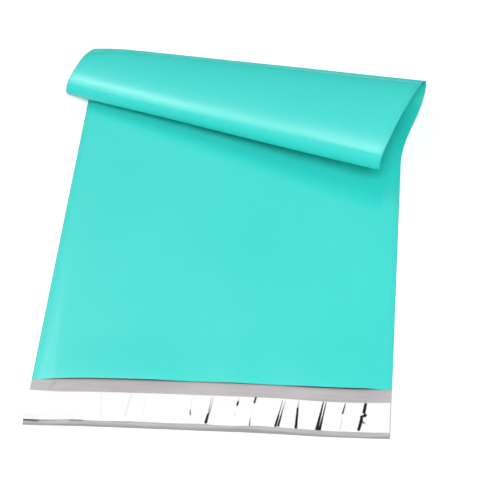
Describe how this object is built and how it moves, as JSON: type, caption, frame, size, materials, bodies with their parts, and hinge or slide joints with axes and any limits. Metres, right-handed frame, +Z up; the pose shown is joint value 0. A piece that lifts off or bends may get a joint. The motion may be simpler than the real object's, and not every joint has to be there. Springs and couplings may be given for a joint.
{
  "type": "poly mailer bag",
  "caption": "Plastic film mailing bag with welded side edges, lying on its back, its sealing flap open, a liner over the adhesive band, and its closed end curled up and back over itself.",
  "frame": {"origin": "the middle of the mouth line, on the surface that the bag lies on", "axes": "+X across the bag to the right as seen from the mouth, +Y from the mouth to the closed end, +Z up; the flap lies at -Y"},
  "size_m": [0.2849, 0.3468, 0.0371],
  "materials": {
    "film": "satin",
    "adhesive": "glossy",
    "liner": "glossy"
  },
  "bodies": {
    "root": {"film_bag": "film", "adhesive_strip": "adhesive", "release_liner": "liner"}
  },
  "joints": []
}
